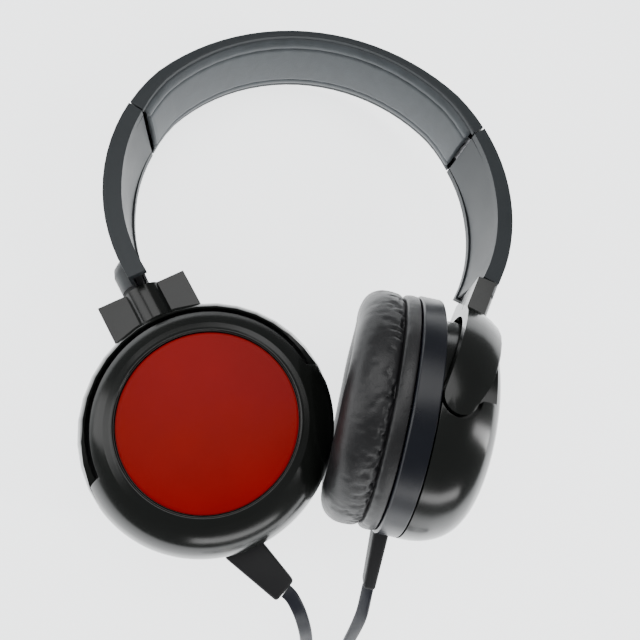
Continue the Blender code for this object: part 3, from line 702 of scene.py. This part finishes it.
steel = moulded("brushed_spring_steel", (0.42, 0.42, 0.44), (0.25, 0.45), 2500, 0.1, 200.0, 1.0, 1.2)
nickel = moulded("nickel_plate", (0.5, 0.48, 0.45), (0.2, 0.32), 1500, 0.05, 120.0, 1.0, 1.15)
film = moulded("formed_film", (0.3, 0.27, 0.2), (0.2, 0.3), 900, 0.05, 120.0, 0.0, 1.2)
FINISHES = {
    "swivel_pin": steel, "pivot_pin_a": steel, "pivot_pin_b": steel, "slider_rail": steel,
    "baffle_screw_1": steel, "baffle_screw_2": steel, "baffle_screw_3": steel,
    "driver_magnet": nickel, "diaphragm": film, "speaker_cloth": cloth,
    "baffle": black, "driver_frame": black, "pad_ring": black, "swivel_hub": black,
}
for side in ("left", "right"):
    for part, finish in FINISHES.items():
        frame["nodes"][f"{side}_{part}"].data.materials[0] = finish
frame["nodes"]["headband_spring_strip"].data.materials[0] = steel

# --- Cord --------------------------------------------------------------------------------------------
# A soft flat cord, 4.4 mm wide and 1.5 mm thick, with rounded edges. Two branches run down
# from the cups to a small splitter on the table, and the rest is put away in a neat coil,
# wound on edge, held by a strap, with the plug beside it.

CORD_WIDE = 4.4
CORD_THICK = 1.5
LEFT_ROUTE = [
    (-7.7, -108.0, 41.0), (-5.2, -115.0, 37.6), (-3.2, -121.8, 31.8), (-1.4, -129.2, 24.4),
    (0.5, -137.5, 16.2), (2.2, -146.5, 8.8), (3.0, -156.0, 3.8), (2.2, -166.0, 1.9),
    (-1.8, -176.5, 1.6), (-10.0, -186.5, 1.6), (-21.5, -195.5, 1.6), (-32.5, -204.5, 1.6),
    (-40.5, -215.5, 1.6), (-43.0, -228.5, 1.6), (-38.0, -241.5, 1.6), (-27.0, -250.5, 1.6),
    (-13.0, -254.6, 1.8), (-4.0, -255.0, 2.1), (3.7, -254.9, 2.3),
]
RIGHT_ROUTE = [
    (16.2, -114.0, 34.8), (15.9, -121.5, 28.8), (15.8, -129.5, 21.2), (16.0, -138.0, 13.4),
    (16.3, -147.0, 7.0), (16.0, -156.5, 3.0), (14.0, -167.0, 1.7), (8.5, -178.0, 1.6),
    (-0.5, -188.0, 1.6), (-12.0, -196.5, 1.6), (-22.0, -205.5, 1.6), (-28.5, -216.5, 1.6),
    (-29.5, -228.5, 1.6), (-25.0, -239.0, 1.6), (-16.0, -246.2, 1.7), (-6.5, -248.8, 2.0),
    (3.7, -249.1, 2.3),
]
RELIEF_ENDS = {
    "left": [(-12.38, -100.57, 40.87), (-10.35, -102.69, 41.47)],
    "right": [(17.42, -103.55, 38.3), (16.81, -106.47, 37.98)],
}

jacket = moulded("navy_cord_jacket", (0.012, 0.0135, 0.02), (0.34, 0.46), 3000, 0.15, 90.0)


def smooth_route(points, step=1.2):
    """Even points along a smooth curve through the route's own points, in metres."""
    fine = [Vector(p) for p in through(points, 16)]
    line = [fine[0]]
    gone = 0.0
    for a, b in zip(fine, fine[1:]):
        gone += (b - a).length
        if gone >= step:
            line.append(b)
            gone = 0.0
    return [p * MM for p in line]


def flat_cord(name, points, sides):
    """A flat section carried along the points; sides gives the direction of its width."""
    bm = bmesh.new()
    rings = []
    for i, (point, across) in enumerate(zip(points, sides)):
        ahead = points[min(i + 1, len(points) - 1)] - points[max(i - 1, 0)]
        ahead.normalize()
        wide = (across - ahead * across.dot(ahead)).normalized()
        up = ahead.cross(wide)
        ring = bmesh.ops.create_circle(bm, segments=16, radius=1.0)["verts"]
        for vert in ring:
            x = math.copysign(abs(vert.co.x) ** 0.55, vert.co.x) * CORD_WIDE / 2
            y = math.copysign(abs(vert.co.y) ** 0.55, vert.co.y) * CORD_THICK / 2
            vert.co = point + (wide * x + up * y) * MM
        rings.append(ring)
    for near, far in zip(rings, rings[1:]):
        for k in range(16):
            bm.faces.new((near[k], near[(k + 1) % 16], far[(k + 1) % 16], far[k]))
    bm.faces.new(rings[0][::-1])
    bm.faces.new(rings[-1])
    bmesh.ops.recalc_face_normals(bm, faces=bm.faces)
    return as_object(bm, name, jacket, smooth_angle=60)


def turning(keys, count):
    """Directions of the width, from (share of the length, direction) pairs."""
    made = []
    for i in range(count):
        share = i / (count - 1)
        for (a, start), (b, end) in zip(keys, keys[1:]):
            if a <= share <= b:
                t = (share - a) / (b - a)
                t = t * t * (3 - 2 * t)
                made.append(Vector(start).lerp(Vector(end), t).normalized())
                break
    return made


splitter = as_object(block((16, 11, 4.6), (12, -252, 2.4), Matrix.Identity(4), 1.6),
                     "splitter_moulding", black)
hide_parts("cord_splitter")
rides_with(splitter, "cord_splitter")

left_points = smooth_route(RELIEF_ENDS["left"] + LEFT_ROUTE)
left_sides = turning(
    [(0, (0.727, 0.686, -0.038)), (0.2, (0.55, 0.2, 0.8)), (0.33, (0.95, 0.1, 0.3)),
     (0.42, (1, -0.1, 0.0)), (0.6, (0.7, -0.7, 0)), (0.75, (1, 0.1, 0)), (0.88, (0.2, 1, 0)),
     (1, (0, 1, 0))],
    len(left_points),
)
left_cord = flat_cord("left_flat_cord", left_points, left_sides)
right_points = smooth_route(RELIEF_ENDS["right"] + RIGHT_ROUTE)
right_sides = turning(
    [(0, (0.55, -0.2, 0.8)), (0.15, (0.9, 0.0, 0.4)), (0.4, (1, -0.1, 0.0)),
     (0.6, (0.7, -0.7, 0)), (0.75, (1, 0.1, 0)), (0.88, (0.2, 1, 0)), (1, (0, 1, 0))],
    len(right_points),
)
right_cord = flat_cord("right_flat_cord", right_points, right_sides)
for side, piece, points in (("left", left_cord, left_points), ("right", right_cord, right_points)):
    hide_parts(side + "_branch_cord")
    rides_with(piece, side + "_branch_cord")

COIL_CENTRE = Vector((52.0, -226.0, 0.0))
TURNS = 6.464
OUTER_TURN, INNER_TURN = 27.7, 17.6
START_ANGLE = math.radians(-122)
EDGE_HEIGHT = 2.6
COIL_STOPS = 261
UPRIGHT = Vector((0, 0, 1))


def about_coil(angle, radius, height):
    """A place at an angle, radius and height about the middle of the coil, in millimetres."""
    return COIL_CENTRE + Vector((radius * math.cos(angle), radius * math.sin(angle), height))


main_line = [(Vector(p), Vector(d)) for p, d in (
    ((20.3, -252.0, 2.2), (0, 1, 0)), ((25.0, -252.5, 2.3), (0, 0.9, 0.4)),
    ((30.0, -252.3, 2.5), (0, 0.4, 0.9)),
)]
lead_stops = len(main_line)
for i in range(COIL_STOPS):
    share = i / (COIL_STOPS - 1)
    radius = OUTER_TURN + (INNER_TURN - OUTER_TURN) * share
    angle = START_ANGLE + share * TURNS * math.tau
    main_line.append((about_coil(angle, radius, EDGE_HEIGHT), UPRIGHT))
end_angle = START_ANGLE + TURNS * math.tau
for turn, radius, height, lean in (
    (9, 17.8, 3.6, 0.45), (17, 18.8, 5.2, 0.85), (26, 20.9, 5.8, 1), (35, 23.6, 5.9, 1),
    (43, 26.4, 5.6, 1), (51, 29.2, 4.4, 1), (58, 31.2, 2.9, 0.9), (64, 32.3, 2.5, 1),
):
    angle = end_angle + math.radians(turn)
    outward = Vector((math.cos(angle), math.sin(angle), 0))
    main_line.append((about_coil(angle, radius, height), UPRIGHT.lerp(outward, lean)))
for place_mm, across in (
    ((35.0, -194.6, 2.2), (0, 1, 0)), ((28.5, -196.2, 2.2), (-0.3, 0.9, 0)),
    ((22.5, -200.4, 3.2), (-0.6, 0.8, 0)), ((17.25, -205.8, 4.1), (-0.6, 0.8, 0)),
):
    main_line.append((Vector(place_mm), Vector(across)))

# A smooth curve runs through all the stops, and the width turns evenly from one to the next.
main_points, main_sides = [], []
for k, ((here, side_here), (there, side_there)) in enumerate(zip(main_line, main_line[1:])):
    before = main_line[max(k - 1, 0)][0]
    after = main_line[min(k + 2, len(main_line) - 1)][0]
    in_coil = lead_stops <= k < lead_stops + COIL_STOPS - 1
    parts = 2 if in_coil else 5
    for i in range(parts):
        t = i / parts
        main_points.append(MM * 0.5 * (
            2 * here + (there - before) * t + (2 * before - 5 * here + 4 * there - after) * t * t
            + (3 * here - before - 3 * there + after) * t**3
        ))
        main_sides.append(side_here.lerp(side_there, t))
main_points.append(main_line[-1][0] * MM)
main_sides.append(main_line[-1][1])
main_cord = flat_cord("main_flat_cord", main_points, main_sides)
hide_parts("main_cord_lead", "cord_coil", "plug_cord_lead")
rides_with(main_cord, "cord_coil")

# A soft strap of the same black plastic goes round the bundle and holds its turns.
strap = bmesh.new()
bmesh.ops.create_cube(strap, size=1.0)
bmesh.ops.scale(strap, vec=(13.0 * MM, 6.0 * MM, 5.9 * MM), verts=strap.verts)
bmesh.ops.bevel(
    strap, geom=[e for e in strap.edges if abs((e.verts[0].co - e.verts[1].co).y) > 3 * MM],
    offset=1.6 * MM, affect="EDGES", segments=5, profile=0.5, material=-1,
)
ends = [f for f in strap.faces if abs(f.normal.y) > 0.9]
bmesh.ops.delete(strap, geom=ends, context="FACES_ONLY")
bmesh.ops.recalc_face_normals(strap, faces=strap.faces)
bmesh.ops.translate(strap, vec=(22.6 * MM, 0, 3.15 * MM), verts=strap.verts)
bmesh.ops.transform(
    strap,
    matrix=Matrix.Translation(COIL_CENTRE * MM) @ Matrix.Rotation(math.radians(-30), 4, "Z"),
    verts=strap.verts,
)
tie = as_object(strap, "coil_strap", black)
thick = tie.modifiers.new("strap_wall", "SOLIDIFY")
thick.thickness = 0.35 * MM
thick.offset = -1.0
rides_with(tie, "cord_coil")

# --- Plug --------------------------------------------------------------------------------------------
# A straight 3.5 mm plug: a moulded black grip with finger rings and a short sleeve, and a
# gold-plated pin whose contacts are parted by thin black insulating rings, drawn here only as shallow
# grooves in the gold.

gold = moulded("gold_plate", (0.75, 0.5, 0.18), (0.16, 0.28), 1500, 0.03, 200.0, 1.0, 1.1)
plug_place = (
    Matrix.Translation((17.0 * MM, -206.0 * MM, 4.1 * MM))
    @ Matrix.Rotation(math.radians(217), 4, "Z") @ Matrix.Rotation(math.pi / 2, 4, "Y")
)
grip = [(0, 0), (2.0, 0)] + arc((2.2, 0.4), 0.3, 270, 360, 4)
for i in range(4):
    grip += [(2.55, 1.6 + i * 1.5), (2.25, 1.9 + i * 1.5), (2.25, 2.3 + i * 1.5),
             (2.6, 2.6 + i * 1.5)]
grip += [(3.2, 8.4), (3.8, 9.6), (4.0, 11)]
for i in range(5):
    grip += [(4.0, 14 + i * 1.6), (3.8, 14.3 + i * 1.6), (3.8, 14.7 + i * 1.6), (4.0, 15 + i * 1.6)]
grip += [(4.0, 24.2)] + arc((3.3, 25.2), 0.7, 0, 90, 4) + [(0, 26)]
body = as_object(turned(grip, plug_place, 64), "plug_grip", black)
pin_profile = (
    [(0, 26.3), (1.75, 26.3), (1.75, 30.2), (1.62, 30.3), (1.62, 30.7), (1.75, 30.8)]
    + [(1.75, 33.2), (1.62, 33.3), (1.62, 33.7), (1.75, 33.8), (1.75, 36.2), (1.62, 36.3)]
    + [(1.62, 36.7), (1.7, 36.8), (1.15, 37.7), (1.5, 38.7), (1.3, 39.5), (0.8, 40.1), (0, 40.3)]
)
pin = as_object(turned(pin_profile, plug_place, 48), "plug_contacts", gold)
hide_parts("plug_body")
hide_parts("plug_pin")
rides_with(body, "plug_body")
rides_with(pin, "plug_pin")
